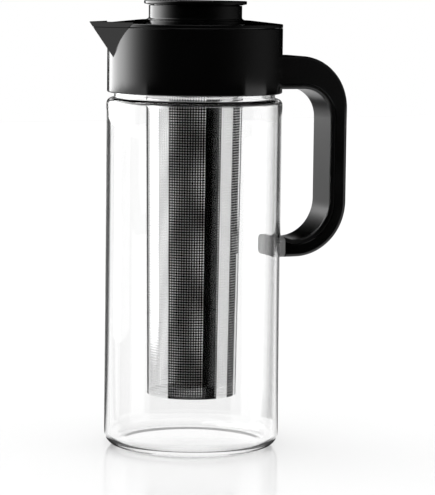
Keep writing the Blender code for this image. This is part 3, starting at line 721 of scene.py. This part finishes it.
@dataclass
class Infuser:
    """The hanging sleeve of pierced sheet, its base and the ring that it hangs from."""

    pitch: float = 0.00153
    hole_share: float = 0.26
    seam_width: float = 0.0077
    seam_turn: float = math.radians(-91)
    bottom_band: float = 0.0012
    top_band: float = 0.0060
    sheet: float = 0.0006
    bottom_radius: float = 0.0266
    ring_wall: float = 0.0014
    ring_flange: float = 0.0038
    ring_fillet: float = 0.0003
    base_fillet: float = 0.0006

    def __post_init__(self) -> None:
        """Reads the sleeve's box once."""
        self.low, self.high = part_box("infuser_sleeve")

    def radius_at(self, height: float) -> float:
        """The sleeve's outer radius at a height."""
        share = (height - self.low.z) / (self.high.z - self.low.z)
        return self.bottom_radius + (self.high.x - self.bottom_radius) * share

    def place(self, angle: float, height: float) -> Vector:
        """A point on the sleeve's outside."""
        radius = self.radius_at(height)
        return Vector((radius * math.cos(angle), radius * math.sin(angle), height))

    def pierce(self, mesh: BMesh, cell: list[Vert], hole: list[Vert]) -> None:
        """Fills the sheet between a cell's corners and its hole, two hole points to a corner.

        Args:
            mesh: the sleeve's mesh.
            cell: the cell's corners.
            hole: the hole's points.
        """
        for index, corner in enumerate(cell):
            first, second = hole[2 * index : 2 * index + 2]
            third = hole[(2 * index + 2) % len(hole)]
            mesh.faces.new((corner, second, first))
            mesh.faces.new((corner, cell[(index + 1) % len(cell)], third, second))

    def sleeve_mesh(self) -> BMesh:
        """One sheet with an eight-sided hole in each cell, plain along its seam and rims.

        Returns:
            The mesh.
        """
        low, high = self.low, self.high
        middle = self.radius_at((low.z + high.z) / 2)
        columns = round(2 * math.pi * middle / self.pitch)
        pierced = high.z - low.z - self.bottom_band - self.top_band
        rows = round(pierced / self.pitch)
        seam_columns = round(self.seam_width / self.pitch)
        cell_angle = 2 * math.pi / columns
        seam_start = self.seam_turn - seam_columns * cell_angle / 2
        cell_height = pierced / rows
        heights = [low.z + self.bottom_band + cell_height * row for row in range(rows + 1)]
        heights = [low.z] + heights + [high.z]
        angles = [seam_start + cell_angle * column for column in range(columns)]
        mesh = bmesh.new()
        grid = [[mesh.verts.new(self.place(angle, height)) for angle in angles] for height in heights]
        hole_step = math.pi / CELL_CORNERS
        turns = [hole_step / 2 + hole_step * index for index in range(2 * CELL_CORNERS)]
        reach = self.hole_share / math.cos(hole_step / 2)
        for row in range(len(heights) - 1):
            plain_row = row in (0, len(heights) - 2)
            for column in range(columns):
                after = (column + 1) % columns
                upper, lower = grid[row + 1], grid[row]
                cell = [upper[after], upper[column], lower[column], lower[after]]
                if plain_row or column < seam_columns:
                    mesh.faces.new(cell)
                    continue
                angle = seam_start + cell_angle * (column + 0.5)
                height = heights[row] + cell_height / 2
                hole = []
                for turn in turns:
                    across = angle + cell_angle * reach * math.cos(turn)
                    up = height + cell_height * reach * math.sin(turn)
                    hole.append(mesh.verts.new(self.place(across, up)))
                self.pierce(mesh, cell, hole)
        bmesh.ops.recalc_face_normals(mesh, faces=mesh.faces)
        return mesh

    def base_mesh(self) -> BMesh:
        """The pressed base cup inside the sleeve's lower end.

        Returns:
            The mesh.
        """
        low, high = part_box("infuser_base")
        inner = high.x - self.sheet
        corners = [
            Corner(0, low.z),
            Corner(high.x, low.z, self.base_fillet * 2),
            Corner(high.x, high.z, self.sheet / 2),
            Corner(inner, high.z, self.sheet / 2),
            Corner(inner, low.z + self.sheet, self.base_fillet),
            Corner(0, low.z + self.sheet),
        ]
        return turned_mesh(corners)

    def ring_bore(self) -> float:
        """The radius of the ring's bore, which the cap's plug goes into."""
        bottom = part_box("infuser_ring")[0].z
        return self.radius_at(bottom) - self.sheet - FIT_GAP - self.ring_wall

    def ring_mesh(self) -> BMesh:
        """The flanged ring.

        Returns:
            The mesh.
        """
        low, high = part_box("infuser_ring")
        flange_low = high.z - self.ring_flange
        bore = self.ring_bore()
        skirt = bore + self.ring_wall
        corners = [
            Corner(bore, low.z, self.ring_fillet),
            Corner(skirt, low.z, self.ring_fillet),
            Corner(skirt, flange_low),
            Corner(high.x, flange_low, self.ring_fillet),
            Corner(high.x, high.z, self.ring_fillet),
            Corner(bore, high.z, self.ring_fillet),
        ]
        return turned_mesh(corners)

    def build(self, palette: Palette) -> None:
        """Builds the sleeve, base and ring and dresses the ring's seal.

        Args:
            palette: the finished materials.
        """
        steel, plastic, body = palette.steel, palette.plastic, Body.INFUSER
        add_piece("pierced_sleeve", self.sleeve_mesh(), steel, body, ("infuser_sleeve",))
        add_piece("pressed_base", self.base_mesh(), steel, body, ("infuser_base",))
        add_piece("hanging_ring", self.ring_mesh(), plastic, body, ("infuser_ring",))
        dress_node("infuser_ring_seal", palette.rubber)


@dataclass
class Cap:
    """The lift-off cap: a plug and neck in one, under a wide flat disc."""

    seat_width: float = 0.0008
    neck_wall: float = 0.0021
    plug_clearance: float = 0.0005
    plug_wall: float = 0.0033
    floor: float = 0.0020
    seal_width: float = 0.0013
    foot_flare: float = 0.0012
    foot_height: float = 0.0002
    small_fillet: float = 0.0003
    taper: float = 0.0006
    edge_fillet: float = 0.0005
    spigot: float = 0.0025

    def body_mesh(self, bore: float, seat: float) -> BMesh:
        """The hollow plug and neck.

        Args:
            bore: the radius of the ring's bore.
            seat: the height of the lid's top.

        Returns:
            The turned mesh.
        """
        low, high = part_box("cap_body")
        seal_low, seal_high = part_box("cap_seal")
        neck = bore + self.seat_width
        plug = bore - self.plug_clearance
        groove = seal_high.x - self.seal_width - FIT_GAP
        start = seat + FIT_GAP
        corners = [
            Corner(0, low.z),
            Corner(plug, low.z, self.small_fillet),
            Corner(plug, seal_low.z - FIT_GAP),
            Corner(groove, seal_low.z - FIT_GAP),
            Corner(groove, seal_high.z + FIT_GAP),
            Corner(plug, seal_high.z + FIT_GAP),
            Corner(plug, start),
            Corner(neck + self.foot_flare, start),
            Corner(neck + self.foot_flare, start + self.foot_height),
            Corner(neck, start + self.foot_height, self.foot_flare),
            Corner(neck, high.z, self.small_fillet),
            Corner(neck - self.neck_wall, high.z),
            Corner(neck - self.neck_wall, start),
            Corner(plug - self.plug_wall, start),
            Corner(plug - self.plug_wall, low.z + self.floor),
            Corner(0, low.z + self.floor),
        ]
        return turned_mesh(corners)

    def disc_mesh(self, neck: float) -> BMesh:
        """The disc over the neck, with its spigot.

        Args:
            neck: the neck's radius.

        Returns:
            The turned mesh.
        """
        low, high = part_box("cap_top")
        underside = low.z + self.spigot
        spigot = neck - self.neck_wall - FIT_GAP
        corners = [
            Corner(0, low.z),
            Corner(spigot, low.z),
            Corner(spigot, underside),
            Corner(neck, underside),
            Corner(high.x, underside + self.taper, self.edge_fillet),
            Corner(high.x, high.z, self.edge_fillet),
            Corner(0, high.z),
        ]
        return turned_mesh(corners)

    def build(self, bore: float, palette: Palette) -> None:
        """Builds the cap and dresses its seal.

        Args:
            bore: the radius of the ring's bore.
            palette: the finished materials.
        """
        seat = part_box("infuser_ring")[1].z
        body = self.body_mesh(bore, seat)
        disc = self.disc_mesh(bore + self.seat_width)
        add_piece("cap_neck", body, palette.plastic, Body.CAP, ("cap_body",))
        add_piece("cap_disc", disc, palette.plastic, Body.CAP, ("cap_top",))
        dress_node("cap_seal", palette.rubber)


@dataclass
class Collar:
    """The spouted collar round the neck, its handle bracket, its gasket and the screws."""

    wall: float = 0.0020
    edge_fillet: float = 0.0008
    rim_fillet: float = 0.0003
    ledge: float = 0.0020
    spout_reach: float = 0.0152
    spout_depth: float = 0.0209
    spout_wall: float = 0.0018
    spout_half_angle: float = math.radians(25.5)
    groove_depth: float = 0.00035
    run_in_share: float = 1.25
    end_steps: int = 4
    level_steps: int = 12
    ledge_reach: float = 0.0070
    screw_head: float = 0.0021
    bracket_reach: float = 0.0080
    bracket_half_width: float = 0.0090
    bracket_height: float = 0.0070

    def __post_init__(self) -> None:
        """Reads the frame's boxes once."""
        self.low, self.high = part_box("spout_collar")
        self.radius = self.high.y
        self.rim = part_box("lid_cover")[0].z - FIT_GAP
        self.ledge_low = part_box("neck_gasket")[1].z + FIT_GAP
        self.neck_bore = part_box("glass_carafe")[1].x - self.ledge_reach
        self.foot = self.high.z - self.spout_depth
        spread = self.spout_half_angle
        self.wing = Vector((-math.cos(spread), math.sin(spread))) * self.radius
        tip = Vector((-self.radius - self.spout_reach, 0, self.high.z))
        ridge = tip - Vector((-self.radius, 0, self.foot))
        side = tip - self.wing.to_3d() - Vector((0, 0, self.high.z))
        self.face_lean = abs(ridge.cross(side).normalized().x)
        self.along = (self.wing - tip.xy).normalized()

    def wall_angle(self, tip: float, back: float) -> float:
        """Where a wall of the beak meets a circle round the axis.

        Args:
            tip: how far in front of the axis the wall starts.
            back: the circle's radius.

        Returns:
            The angle from the beak's middle, or zero where the wall starts inside the circle.
        """
        if tip <= back:
            return 0.0
        lean = tip * self.along.x
        run = lean - math.sqrt(lean**2 - tip**2 + back**2)
        end = self.along * run - Vector((tip, 0))
        return math.atan2(end.y, -end.x)

    def beak_loop(self, height: float, inset: float, back: float) -> list[Vector]:
        """One level section of the hollow V beak.

        Args:
            height: the level.
            inset: how far the two outer faces are drawn in.
            back: the radius of the arc where the walls end.

        Returns:
            The loop: the tip, one wall's end, the hollow and the other wall's end.
        """
        tip = self.radius + self.spout_reach * (height - self.foot) / self.spout_depth
        hollow = tip - self.spout_wall / self.face_lean
        tip -= inset / self.along.y
        wide = self.wall_angle(tip, back)
        narrow = self.wall_angle(hollow, back)
        angles = [wide + (narrow - wide) * k / self.end_steps for k in range(self.end_steps + 1)]
        loop = [Vector((-tip, 0, height))]
        loop += [Vector((-back * math.cos(a), back * math.sin(a), height)) for a in angles]
        loop.append(Vector((-max(hollow, back), 0, height)))
        loop += [Vector((-back * math.cos(a), -back * math.sin(a), height)) for a in angles[::-1]]
        return loop

    def beak_mesh(self) -> BMesh:
        """The hollow beak, with the groove that carries the lid's seam on round it.

        Returns:
            The mesh.
        """
        middle = self.radius - self.wall / 2
        outside = self.radius + FIT_GAP
        slope = self.spout_depth / self.spout_reach
        start = self.foot - slope * self.wall / 3
        seat = self.rim - FIT_GAP
        band = self.rim + FIT_GAP
        opening = self.foot + slope * (middle - self.radius + self.spout_wall / self.face_lean)
        levels = [(start, 0.0, middle), (self.foot, 0.0, middle)]
        for step in range(self.level_steps + 1):
            height = opening + (seat - opening) * step / self.level_steps
            levels.append((height, 0.0, middle))
        levels += [(seat, 0.0, outside), (self.rim, 0.0, outside)]
        levels += [(self.rim, self.groove_depth, outside), (band, self.groove_depth, outside)]
        levels += [(band, 0.0, outside), (self.high.z - self.rim_fillet, 0.0, outside)]
        levels += [(self.high.z, self.rim_fillet, outside)]
        return stacked_mesh([self.beak_loop(*level) for level in levels])

    def channel_mesh(self) -> BMesh:
        """The wedge that opens the collar's ring behind the beak.

        Returns:
            The mesh.
        """
        tip = Vector((-self.radius - self.spout_reach, 0, self.high.z))
        inner = tip + Vector((self.spout_wall / self.face_lean, 0, 0))
        ends = [Vector((-self.radius, 0, self.foot))]
        ends += [Vector((self.wing.x, side * self.wing.y, self.high.z)) for side in (-1, 1)]
        mesh = bmesh.new()
        verts = [mesh.verts.new(inner)]
        verts += [mesh.verts.new(inner + (end - tip) * self.run_in_share) for end in ends]
        bmesh.ops.convex_hull(mesh, input=verts)
        floor = self.ledge_low + self.ledge + FIT_GAP
        bmesh.ops.bisect_plane(
            mesh,
            geom=mesh.verts[:] + mesh.edges[:] + mesh.faces[:],
            plane_co=(0, 0, floor),
            plane_no=(0, 0, 1),
            clear_inner=True,
        )
        bmesh.ops.holes_fill(mesh, edges=mesh.edges)
        bmesh.ops.recalc_face_normals(mesh, faces=mesh.faces)
        return mesh

    def ring_mesh(self) -> BMesh:
        """The collar's turned ring with its inner ledge.

        Returns:
            The mesh.
        """
        bore = self.radius - self.wall
        ledge_top = self.ledge_low + self.ledge
        corners = [
            Corner(bore, self.low.z, self.rim_fillet),
            Corner(self.radius, self.low.z, self.edge_fillet),
            Corner(self.radius, self.rim, self.rim_fillet),
            Corner(bore, self.rim, self.rim_fillet),
            Corner(bore, ledge_top),
            Corner(self.neck_bore, ledge_top, self.rim_fillet),
            Corner(self.neck_bore, self.ledge_low, self.rim_fillet),
            Corner(bore, self.ledge_low),
        ]
        return turned_mesh(corners)

    def bracket_mesh(self) -> BMesh:
        """The block inside the handle's arm that its screws go through.

        Returns:
            The mesh.
        """
        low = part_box("handle_screw_front")[0].z + self.screw_head
        high = low + self.bracket_height
        half = self.bracket_half_width
        start = math.sqrt((self.radius - self.wall / 2) ** 2 - half**2)
        spots = ((-half, low), (half, low), (half, high), (-half, high))
        ends = (start, self.radius + self.bracket_reach)
        return stacked_mesh([[Vector((x, y, z)) for y, z in spots] for x in ends])

    def build(self, palette: Palette) -> None:
        """Builds the collar and dresses its gasket and the screws.

        Args:
            palette: the finished materials.
        """
        ring = carved(self.ring_mesh(), self.channel_mesh())
        plastic, body = palette.plastic, Body.PITCHER
        add_piece("collar_ring", ring, plastic, body, ("spout_collar",))
        add_piece("spout_beak", self.beak_mesh(), plastic, body, ())
        add_piece("handle_bracket", self.bracket_mesh(), plastic, body, ())
        dress_node("neck_gasket", palette.rubber)
        dress_node("handle_screw_front", palette.zinc)
        dress_node("handle_screw_back", palette.zinc)


@dataclass
class Handle:
    """The D-loop handle: a hollow shell, its inner liner and the pad on the glass."""

    grip_thickness: float = 0.0110
    outer_top: float = 0.0315
    outer_bottom: float = 0.0330
    inner_top: float = 0.0180
    inner_bottom: float = 0.0230
    arm_height: float = 0.0198
    foot_thickness: float = 0.0105
    foot_flare: float = 0.0015
    flare_length: float = 0.0050
    edge_radius: float = 0.0022
    shell_wall: float = 0.0020
    liner_thickness: float = 0.0026
    tongue_depth: float = 0.0020
    seam_fillet: float = 0.00025
    pad_thickness: float = 0.0022
    arc_steps: int = 28
    edge_steps: int = 8

    def __post_init__(self) -> None:
        """Reads the frame's boxes once."""
        low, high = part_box("handle_shell")
        self.half_width = high.y
        self.outer_x = high.x
        self.top = high.z
        self.bottom = low.z
        self.inner_x = high.x - self.grip_thickness
        self.arm_underside = high.z - self.arm_height
        self.foot_top = low.z + self.foot_thickness
        self.root_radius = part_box("spout_collar")[1].y + FIT_GAP
        self.foot_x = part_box("glass_carafe")[1].x + self.pad_thickness + 2 * FIT_GAP
        self.flare_x = self.foot_x + self.flare_length

    def outer_line(self, inset: float) -> list[Vector]:
        """Points along the handle's outside, from the collar to the foot.

        Args:
            inset: how far the line is drawn in from the surface.

        Returns:
            The points.
        """
        x = self.outer_x - inset
        corners = [
            (0.0, self.top - inset, 0.0),
            (x, self.top - inset, self.outer_top - inset),
            (x, self.bottom + inset, self.outer_bottom - inset),
            (self.flare_x, self.bottom + inset, 0.0),
            (self.foot_x, self.bottom + inset, 0.0),
        ]
        return rounded(corners, self.arc_steps, closed=False)

    def inner_line(self, inset: float) -> list[Vector]:
        """Points along the handle's inside, from the collar to the foot.

        Args:
            inset: how far the line is drawn in from the surface.

        Returns:
            The points.
        """
        x = self.inner_x + inset
        corners = [
            (0.0, self.arm_underside + inset, 0.0),
            (x, self.arm_underside + inset, self.inner_top + inset),
            (x, self.foot_top - inset, self.inner_bottom + inset),
            (self.flare_x, self.foot_top - inset, 0.0),
            (self.foot_x, self.foot_top + self.foot_flare - inset, 0.0),
        ]
        return rounded(corners, self.arc_steps, closed=False)

    def edge(self) -> list[tuple[float, float]]:
        """The points of a rounded edge.

        Returns:
            Pairs of how far each is drawn in from the face and from the side.
        """
        radius = self.edge_radius
        pairs = []
        for step in range(self.edge_steps + 1):
            angle = math.pi / 2 * step / self.edge_steps
            pairs.append((radius * (1 - math.sin(angle)), radius * (1 - math.cos(angle))))
        return pairs

    def sweep(self, profile: list[SectionPoint]) -> BMesh:
        """A closed solid whose section follows the loop.

        Args:
            profile: the section's points, each a line of the handle (outer or inner),
                its inset and its place across the handle.

        Returns:
            The mesh.
        """
        lines = {}
        for line, inset, across in profile:
            if (line, inset) not in lines:
                lines[line, inset] = line(inset)
        count = len(next(iter(lines.values())))
        loops = []
        for index in range(count):
            loop = []
            for line, inset, across in profile:
                point = lines[line, inset][index]
                x = point.x
                if index == 0:
                    x = math.sqrt(self.root_radius**2 - across**2)
                loop.append(Vector((x, across, point.y)))
            loops.append(loop)
        return stacked_mesh(loops)

    def shell_profile(self) -> list[SectionPoint]:
        """The hollow shell's section: round outer edges and a fine chamfer at the seam.

        Returns:
            The section's points, as sweep takes them.
        """
        outer, inner = self.outer_line, self.inner_line
        seam = self.liner_thickness + FIT_GAP
        wide = self.half_width
        support = self.edge_radius + self.seam_fillet
        side = [(inner, seam, wide - self.shell_wall), (inner, seam, wide - self.seam_fillet)]
        side += [(inner, seam + self.seam_fillet, wide), (inner, seam + 2 * self.seam_fillet, wide)]
        side += [(outer, support, wide)]
        for face_in, side_in in self.edge():
            side.append((outer, face_in, wide - side_in))
        side.append((outer, 0.0, wide - support))
        cavity = [(outer, self.shell_wall, wide - self.shell_wall)]
        mirrored = [(line, inset, -across) for line, inset, across in side[::-1]]
        hollow = [(line, inset, -across) for line, inset, across in cavity]
        return side + mirrored + hollow + cavity

    def liner_profile(self) -> list[SectionPoint]:
        """The liner's section: round finger edges, flat sides and a tongue behind.

        Returns:
            The section's points, as sweep takes them.
        """
        inner = self.inner_line
        wide = self.half_width
        support = self.edge_radius + self.seam_fillet
        tongue = wide - self.shell_wall - FIT_GAP
        back = self.liner_thickness
        side = [(inner, 0.0, wide - support)]
        for face_in, side_in in self.edge()[::-1]:
            side.append((inner, face_in, wide - side_in))
        side += [(inner, back - self.seam_fillet / 2, wide), (inner, back, wide - self.seam_fillet / 2)]
        side += [(inner, back, tongue), (inner, back + self.tongue_depth, tongue)]
        mirrored = [(line, inset, -across) for line, inset, across in side[::-1]]
        return side + mirrored

    def build(self, palette: Palette) -> None:
        """Builds the shell and the liner and dresses the pad.

        Args:
            palette: the finished materials.
        """
        shell = self.sweep(self.shell_profile())
        liner = self.sweep(self.liner_profile())
        body = Body.PITCHER
        add_piece("handle_body", shell, palette.plastic, body, ("handle_shell",))
        add_piece("handle_inlay", liner, palette.grip, body, ("handle_liner",))
        dress_node("foot_pad", palette.pad)


class Glow(Enum):
    """How bright a panel is; BY_DIRECTION takes the level of the direction it stands in."""

    BLACK = 0.0
    DIM = 0.08
    PALE = 1.0
    BY_DIRECTION = -1.0


@dataclass(frozen=True)
class Panel:
    """A curved panel that only mirrored rays see.

    Its turns are degrees to the right of the camera's direction. Each of its two
    edges has a radius round the axis and a height.
    """

    name: str
    start: float
    end: float
    near: tuple[float, float]
    far: tuple[float, float]
    glow: Glow = Glow.BLACK


@dataclass(frozen=True)
class Softbox:
    """An upright rectangular lamp that faces the axis.

    Its turn is degrees to the right of the camera's direction. Its middle is a height.
    """

    name: str
    turn: float
    width: float
    height: float
    distance: float
    middle: float


@dataclass(frozen=True)
class Studio:
    """The pale floor, the softboxes, the panels that shiny surfaces mirror and the camera."""

    view_azimuth: float = math.radians(-23.2)
    distance: float = 1.5266
    camera_height: float = 0.285
    aim_height: float = 0.1187
    aim_right: float = 0.0147
    roll: float = math.radians(0.684)
    lens: float = 186.8
    sensor: float = 36.0
    floor_half: float = 3.0
    floor_drop: float = 0.0002
    floor_glow: float = 0.13
    floor_level: float = 0.82
    floor_level_shares: tuple[float, float] = (1.0, 1.01)
    floor_cloud_scale: float = 6.0
    floor_roughness: float = 0.12
    sky_level: float = 1.0
    key_turn: float = math.radians(-107)
    key_spread: float = math.radians(20.3)
    key_level: float = 5.0
    fill_turn: float = math.radians(86)
    fill_spread: float = math.radians(22)
    fill_glow: float = 0.15
    panel_step: float = 2.0
    lamp_level: float = 1.0

    def toward_camera(self, turn: float = 0.0) -> Vector:
        """The level direction at an angle to the right of the camera's direction."""
        azimuth = self.view_azimuth + turn
        return Vector((math.sin(azimuth), -math.cos(azimuth), 0))

    def add_camera(self) -> None:
        """Puts the camera where the photograph was taken from."""
        right = self.toward_camera(math.pi / 2)
        place = self.toward_camera() * self.distance + Vector((0, 0, self.camera_height))
        aim = right * self.aim_right + Vector((0, 0, self.aim_height))
        data = bpy.data.cameras.new("photo_camera")
        data.lens = self.lens
        data.sensor_width = self.sensor
        camera = bpy.data.objects.new("photo_camera", data)
        camera.location = place
        level = (aim - place).to_track_quat("-Z", "Y")
        camera.rotation_euler = (level @ Quaternion((0, 0, 1), self.roll)).to_euler()
        bpy.context.scene.collection.objects.link(camera)
        bpy.context.scene.camera = camera

    def add_softbox(self, softbox: Softbox) -> None:
        """Adds a lamp at the studio's lamp level, where 1 lights a white card as white.

        Args:
            softbox: the lamp.
        """
        data = bpy.data.lights.new(softbox.name, "AREA")
        data.shape = "RECTANGLE"
        data.size = softbox.width
        data.size_y = softbox.height
        data.energy = self.lamp_level * math.pi * softbox.width * softbox.height
        lamp = bpy.data.objects.new(softbox.name, data)
        aim = Vector((0, 0, softbox.middle))
        lamp.location = self.toward_camera(math.radians(softbox.turn)) * softbox.distance + aim
        lamp.rotation_euler = (aim - lamp.location).to_track_quat("-Z", "Y").to_euler()
        lamp.visible_camera = False
        lamp.visible_glossy = False
        bpy.context.scene.collection.objects.link(lamp)

    def reflected_share(self, graph: NodeGraph) -> Socket:
        """1 for a ray that a surface has mirrored, and 0 for one that only went through glass."""
        depth = graph.add("LightPath").outputs["Glossy Depth"]
        return graph.math("GREATER_THAN", depth, 0.5)

    def side_level(self, turn: float) -> float:
        """How bright the mirrored surroundings are in a level direction.

        Args:
            turn: the angle to the right of the camera's direction.

        Returns:
            The level, full up to the key's turn and falling off beyond it and round the fill's.
        """
        past_key = max(0.0, turn - self.key_turn)
        key = math.exp(-((past_key / self.key_spread) ** 2) / 2)
        fill = math.exp(-(((turn - self.fill_turn) / self.fill_spread) ** 2) / 2)
        return self.key_level * key + self.fill_glow * fill

    def add_panel(self, panel: Panel) -> None:
        """Adds a panel, plain or glowing by the direction it stands in.

        Args:
            panel: the panel.
        """
        material, graph = new_material(panel.name)
        strength = panel.glow.value
        if panel.glow is Glow.BY_DIRECTION:
            strength = graph.add("Attribute", attribute_name="level").outputs["Fac"]
        glow = graph.add("Emission", {"Color": grey(1.0), "Strength": strength})
        clear = graph.add("BsdfTransparent")
        graph.close(graph.mix_shader(self.reflected_share(graph), clear, glow))
        mesh = bmesh.new()
        steps = round((panel.end - panel.start) / self.panel_step)
        columns = []
        levels = []
        for step in range(steps + 1):
            turn = math.radians(panel.start + (panel.end - panel.start) * step / steps)
            ends = []
            for radius, height in (panel.near, panel.far):
                ends.append(self.toward_camera(turn) * radius + Vector((0, 0, height)))
            columns.append([mesh.verts.new(end) for end in ends])
            levels += [self.side_level(turn)] * 2
        for left, right in zip(columns, columns[1:]):
            mesh.faces.new((left[0], right[0], right[1], left[1]))
        data = bpy.data.meshes.new(panel.name)
        mesh.to_mesh(data)
        mesh.free()
        data.attributes.new("level", "FLOAT", "POINT").data.foreach_set("value", levels)
        data.materials.append(material)
        board = bpy.data.objects.new(panel.name, data)
        board.visible_camera = False
        board.visible_diffuse = False
        board.visible_shadow = False
        bpy.context.scene.collection.objects.link(board)

    def add_panels(self) -> None:
        """Adds what the steel, the glass edges and the plastic mirror."""
        low = ((0.35, -0.05), (0.35, 0.187))
        high = ((0.35, 0.184), (0.35, 1.1))
        below = ((0.14, -0.02), (6.0, -0.02))
        under = ((0.046, -0.003), (0.062, -0.003))
        back = ((0.9, 0.42), (0.9, 2.4))
        self.add_panel(Panel("front_flag", -61, 65, *low))
        self.add_panel(Panel("side_card", 65, 101, *low, Glow.PALE))
        self.add_panel(Panel("side_flag", 101, 133, *low))
        self.add_panel(Panel("left_edge_flag", -166, -143, *below, Glow.DIM))
        self.add_panel(Panel("right_edge_flag", 148, 160, *below, Glow.DIM))
        # Painted shade: a dim ring under the floor round the glass's foot, which mirrored rays see in
        # place of the shaded floor under the foot.
        self.add_panel(Panel("foot_shade_ring", 0, 360, *under, Glow.DIM))
        self.add_panel(Panel("high_ramp", -143, 165, *high, Glow.BY_DIRECTION))
        self.add_panel(Panel("high_flag", 165, 210, *high))
        self.add_panel(Panel("back_flag", 100, 260, *back))

    def add_floor(self) -> None:
        """Adds the pale floor, which glows a little so that it reads as white."""
        material, graph = new_material("pale_floor")
        cloud = graph.noise(self.floor_cloud_scale)
        inputs = {
            "Base Color": graph.mottle(cloud, self.floor_level, self.floor_level_shares),
            "Roughness": self.floor_roughness,
            "Emission Color": grey(1.0),
            "Emission Strength": self.floor_glow,
        }
        pale = graph.add("BsdfPrincipled", inputs)
        clear = graph.add("BsdfTransparent")
        graph.close(graph.mix_shader(self.reflected_share(graph), pale, clear))
        mesh = bmesh.new()
        bmesh.ops.create_grid(mesh, x_segments=1, y_segments=1, size=self.floor_half)
        data = bpy.data.meshes.new("pale_floor")
        mesh.to_mesh(data)
        mesh.free()
        data.materials.append(material)
        floor = bpy.data.objects.new("pale_floor", data)
        floor.location.z = -self.floor_drop
        bpy.context.scene.collection.objects.link(floor)

    def add_sky(self) -> None:
        """Sets a world that is white to the eye, in mirrors and through glass."""
        world = bpy.data.worlds.new("studio")
        world.use_nodes = True
        bpy.context.scene.world = world
        graph = NodeGraph(world.node_tree)
        path = graph.add("LightPath")
        seen = graph.math("MAXIMUM", path.outputs["Is Camera Ray"], path.outputs["Is Glossy Ray"])
        seen = graph.math("MAXIMUM", seen, path.outputs["Is Transmission Ray"])
        lit = graph.add("Background", {"Color": grey(1.0), "Strength": self.sky_level})
        white = graph.add("Background", {"Color": grey(1.0), "Strength": 1.0})
        graph.close(graph.mix_shader(seen, lit, white), "OutputWorld")

    def build(self) -> None:
        """Builds the whole studio."""
        self.add_camera()
        self.add_sky()
        self.add_floor()
        self.add_panels()
        self.add_softbox(Softbox("key_softbox", -112, 0.9, 1.2, 1.3, 0.45))
        self.add_softbox(Softbox("fill_softbox", 72, 0.5, 1.0, 1.3, 0.30))
        bpy.context.scene.view_settings.view_transform = "Standard"


def make_palette() -> Palette:
    """Makes the materials.

    Returns:
        The finished materials.
    """
    return Palette(
        plastic=PlasticFinish("black_moulding").material(),
        grip=PlasticFinish("grip_moulding", roughness=0.3).material(),
        steel=SteelFinish("drawn_steel").material(),
        zinc=SteelFinish("zinc_plate", level=0.5, roughness=0.3).material(),
        rubber=RubberFinish("seal_rubber", level=0.02).material(),
        pad=RubberFinish("pad_rubber", level=0.16).material(),
        # Painted edge shade on the glass: darkest on the side, a little less on the roundings, none
        # inside.
        glass={
            GlassZone.SIDE: GlassFinish("glass_side", edge_shade_level=0.35).material(),
            GlassZone.INNER: GlassFinish("glass_inside").material(),
            GlassZone.ROUNDING: GlassFinish("glass_foot", edge_shade_level=0.4).material(),
        },
    )


def main() -> None:
    """Builds the pitcher's looks in order, then the studio."""
    logging.basicConfig(level=logging.INFO, format="%(name)s: %(message)s")
    palette = make_palette()
    Carafe().build(palette)
    Collar().build(palette)
    Handle().build(palette)
    Lid().build(palette)
    infuser = Infuser()
    infuser.build(palette)
    Cap().build(infuser.ring_bore(), palette)
    Studio().build()


if __name__ == "__main__":
    main()
